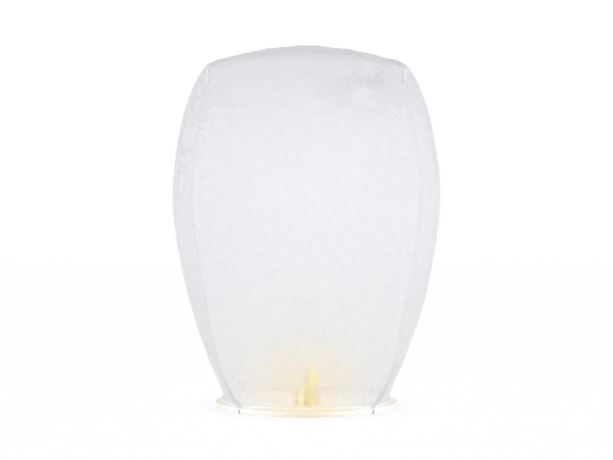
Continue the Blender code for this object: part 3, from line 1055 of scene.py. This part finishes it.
def bamboo_material():
    """Split bamboo: long grain, a few darker fibre bundles and a faint sheen on the outer skin."""
    material, tree = new_material("split_bamboo_strip")
    grain = noise(tree, 1, 4, 0.6, 0.3, stretch=(60, 60, 1800))
    bundles = noise(tree, 1, 2, 0.5, 0.6, stretch=(25, 25, 700))
    blotch = noise(tree, 35, 3)
    stops = ((0.25, (0.68, 0.56, 0.38)), (0.5, (0.85, 0.76, 0.58)), (0.75, (0.92, 0.86, 0.70)))
    colour = colour_ramp(tree, grain, stops)
    colour = mix_colour(tree, bundles.above(0.62) * 0.45, colour, (0.30, 0.18, 0.08))
    colour = mix_colour(tree, blotch * 0.3, colour, (0.72, 0.60, 0.34))
    normal = bump(tree, grain, 0.5, 0.0003)
    sheen = {"Coat_Weight": 0.15, "Coat_Roughness": 0.4}
    return finished(material, principled(tree, colour, grain * 0.3 + 0.32, normal, **sheen))


def tape_material():
    """Crepe paper tape: close cross wrinkles, faint stains, and a foot painted nearly black as shadow.
    """
    material, tree = new_material("crepe_binding_tape")
    crepe = noise(tree, 1, 3, 0.65, 0.8, stretch=(2600, 400, 300))
    stain = noise(tree, 160, 4)
    colour = colour_ramp(tree, crepe, ((0.3, (0.70, 0.66, 0.54)), (0.7, (0.90, 0.87, 0.76))))
    colour = mix_colour(tree, stain * 0.3, colour, (0.62, 0.55, 0.42))
    # Painted shadow: the tape turns nearly black in its lowest 3 mm.
    painted_foot_shadow = ((0.0030 - point_height(tree)) * 700.0).clamped()
    colour = mix_colour(tree, painted_foot_shadow, colour, (0.10, 0.09, 0.07))
    normal = bump(tree, crepe, 0.7, 0.0003)
    return finished(material, principled(tree, colour, stain * 0.2 + 0.55, normal))


def wire_material(name, bright, dull, rust):
    """Drawn wire: die lines along it, patchy zinc bloom and some specks of rust."""
    material, tree = new_material(name)
    lines = noise(tree, 1, 2, 0.5, stretch=(700, 700, 5200))
    bloom = noise(tree, 420, 4, 0.6)
    specks = noise(tree, 950, 3).above(0.66) * rust
    colour = mix_colour(tree, bloom, bright, dull)
    colour = mix_colour(tree, specks, colour, (0.28, 0.13, 0.06))
    normal = bump(tree, lines, 0.4, 0.0001)
    roughness = bloom * 0.35 + 0.22
    return finished(material, principled(tree, colour, roughness, normal, Metallic=1.0 - specks))


def card_material():
    """Waxed card: fine fibres, wax that pools glossy, and a scorched top."""
    low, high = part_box("fuel_block")
    material, tree = new_material("waxed_card_stack")
    wax = noise(tree, 130, 4, 0.55, 0.4)
    fibre = noise(tree, 1, 3, 0.6, stretch=(1500, 300, 1500))
    height = (point_height(tree) - low[2]) / (high[2] - low[2])
    char = ((height + (wax - 0.5) * 0.9 - 0.88) * 4.0).clamped()
    colour = colour_ramp(tree, fibre, ((0.3, (0.74, 0.61, 0.38)), (0.7, (0.90, 0.80, 0.58))))
    colour = mix_colour(tree, wax * 0.45, colour, (0.95, 0.90, 0.74))
    colour = mix_colour(tree, char, colour, (0.16, 0.09, 0.045))
    roughness = wax * -0.35 + char * 0.3 + 0.5
    normal = bump(tree, fibre, 0.5, 0.0004)
    sheen = {"Coat_Weight": 0.08, "Coat_Roughness": 0.5, "Specular_IOR_Level": 0.2}
    return finished(material, principled(tree, colour, roughness, normal, **sheen))


def flame_material(name, low_colour, high_colour, strength, clear_base, clear_tip):
    """Burning gas: it only gives light, streaked by noise, and thins out towards the edge and tip."""
    material, tree = new_material(name)
    streaks = noise(tree, 1, 3, 0.55, 0.8, stretch=(420, 420, 70))
    share = (attribute(tree, "height") + (streaks - 0.5) * 0.5).clamped()
    colour = mix_colour(tree, share, low_colour, high_colour)
    lit = add_node(tree, "Emission", Color=colour, Strength=strength).outputs[0]
    thin = share * (clear_tip - clear_base) + clear_base
    thin = (thin + edge_on(tree, 0.35) * 0.55).clamped()
    clear = add_node(tree, "BsdfTransparent").outputs[0]
    return finished(material, mix_shader(tree, thin, lit, clear))


# ---- stage ----


def make_floor():
    """A pale floor that fades into the white backdrop."""
    material, tree = new_material("pale_floor")
    grain = noise(tree, 9, 3)
    colour = mix_colour(tree, grain, (0.90, 0.90, 0.90), (0.94, 0.94, 0.94))
    diffuse = add_node(tree, "BsdfDiffuse", Color=colour).outputs[0]
    lit = add_node(tree, "Emission", Strength=1.0).outputs[0]
    away = add_node(tree, "VectorMath", Vector=object_coords(tree))
    away.operation = "LENGTH"
    spread = {"From_Min": 0.15, "From_Max": 0.27, "To_Min": 0.80, "To_Max": 0.985}
    fade = add_node(tree, "MapRange", Value=away.outputs["Value"], **spread)
    fade.interpolation_type = "SMOOTHSTEP"
    share = camera_ray(tree) * fade.outputs["Result"]
    finished(material, mix_shader(tree, share, diffuse, lit))
    angle = 2 * math.pi * np.arange(FLOOR_SIDES) / FLOOR_SIDES
    rim = polar(FLOOR_RADIUS, angle, 0 * angle)
    floor = mesh_object("floor", rim, [range(FLOOR_SIDES)], material)
    floor.location.z = cad_bounds[0][2] - FLOOR_GAP


def make_world():
    """White to the camera; as light, bright from the sides and dimmer and cooler from above."""
    world = bpy.data.worlds.new("studio")
    bpy.context.scene.world = world
    world.use_nodes = True
    tree = world.node_tree
    tree.nodes.clear()
    coords = tree.nodes.new("ShaderNodeTexCoord")
    split = add_node(tree, "SeparateXYZ", Vector=coords.outputs["Generated"])
    low, high, top = (0.90, 0.91, 0.93), (0.35, 0.37, 0.40), (0.28, 0.30, 0.33)
    sky = colour_ramp(tree, split.outputs["Z"], ((0.0, WHITE), (0.3, low), (0.7, high), (1.0, top)))
    studio = add_node(tree, "Background", Color=sky, Strength=SKY_STRENGTH).outputs[0]
    white = add_node(tree, "Background", Color=WHITE).outputs[0]
    add_node(tree, "OutputWorld", Surface=mix_shader(tree, camera_ray(tree), studio, white))


def add_light(name, kind, place, power, colour):
    light = bpy.data.lights.new(name, kind)
    light.energy = power
    light.color = colour
    obj = bpy.data.objects.new(name, light)
    obj.location = place
    bpy.context.scene.collection.objects.link(obj)
    return obj


def area_light(name, place, size, power):
    """A square studio light that points at the lantern's middle."""
    obj = add_light(name, "AREA", place, power, WHITE)
    obj.data.shape = "SQUARE"
    obj.data.size = size
    target = Vector((0, 0, (cad_bounds[0][2] + cad_bounds[1][2]) / 2))
    obj.rotation_euler = (target - Vector(place)).to_track_quat("-Z", "Y").to_euler()


def inner_light(name, z, size, power, colour):
    """A light inside the envelope. It rides the crown, so it sinks out of sight when that folds down."""
    obj = add_light(name, "POINT", (0, 0, z), power, colour)
    obj.data.shadow_soft_size = size
    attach(obj, "crown")


def make_lights(block_top):
    area_light("front", (0.0, -4.2, 0.25), 2.2, 64)
    area_light("key", (-2.4, -1.1, 0.9), 0.4, 4)
    area_light("fill", (2.6, -0.9, 0.6), 0.8, 8)
    inner_light("inner_fill", INNER_LIGHT_Z, 0.12, INNER_LIGHT_W, WHITE)
    flame_z = block_top + FLAME_LIGHT_RISE
    inner_light("flame_glow", flame_z, 0.02, FLAME_LIGHT_W, FLAME_LIGHT_COLOUR)


def make_camera():
    camera = bpy.data.cameras.new("camera")
    camera.lens = LENS_MM
    camera.sensor_width = 36
    obj = bpy.data.objects.new("camera", camera)
    obj.location = CAMERA_PLACE
    obj.rotation_euler = (math.pi / 2, 0, 0)
    bpy.context.scene.collection.objects.link(obj)
    bpy.context.scene.camera = obj


# ---- assembly ----


def make_envelope():
    """All the paper: the gores and what is glued or folded on them."""
    tissue = tissue_material("white_tissue_paper", (0.93, 0.93, 0.942), 0.20, thinner=0.12)
    lap = tissue_material("glued_tissue_lap", (0.90, 0.90, 0.915), 0.10, highlight_whiteness=0.9)
    double = {"tint": (0.97, 0.97, 0.97), "see_through": 0.05, "thinner": 0.04, "through_share": 0.20}
    # Painted light: the hem and band give off light by themselves and are painted warm in the flame's
    # glow.
    fold_glow = {"warm": (0.975, 0.890, 0.715), "painted_glow": (0.22, 0.06), "grazing_power": 1.2}
    band_glow = {"warm": (0.965, 0.850, 0.620), "painted_glow": (0.10, 0.16), "grazing_power": 0.4}
    hem = tissue_material("folded_tissue_hem", **double, **fold_glow)
    band = tissue_material("doubled_tissue_band", **double, **band_glow)
    # The crown patch gives off a little painted light by itself.
    patch = tissue_material("crown_tissue_patch", (0.97, 0.97, 0.98), 0.08, painted_glow=(0.05, 0.05))

    grid, up = envelope_grid(FINE_ROWS, FINE_COLUMNS)
    grid = grid + resampled(buckled_paper(), *grid.shape[:2])
    heights = crease_heights(grid, up, FINE_COLUMNS)
    surface = make_gores(grid, heights, tissue)
    make_seams(surface, up, lap)
    make_hems(hem)
    make_hem_bands(surface, band)
    make_crown_patch(patch)


def set_cad_materials():
    """The hoop, its binding and the wires keep the CAD's shape and get detailed materials."""
    steel = wire_material("galvanised_cross_wire", (0.74, 0.74, 0.73), (0.50, 0.50, 0.48), 0.4)
    burnt = wire_material("burnt_tie_wire", (0.45, 0.42, 0.40), (0.16, 0.15, 0.15), 0.7)
    materials = {
        "bamboo_hoop": bamboo_material(),
        "hoop_binding": tape_material(),
        "cross_wire_a": steel,
        "cross_wire_b": steel,
        "fuel_tie_wire": burnt,
    }
    for name, material in materials.items():
        for slot_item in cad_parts[name].material_slots:
            slot_item.material = material


make_envelope()
block_top = make_fuel_stack(card_material())
make_flames(block_top)
set_cad_materials()
make_floor()
make_world()
make_lights(block_top)
make_camera()
bpy.context.scene.view_settings.view_transform = "Standard"
bpy.context.view_layer.update()
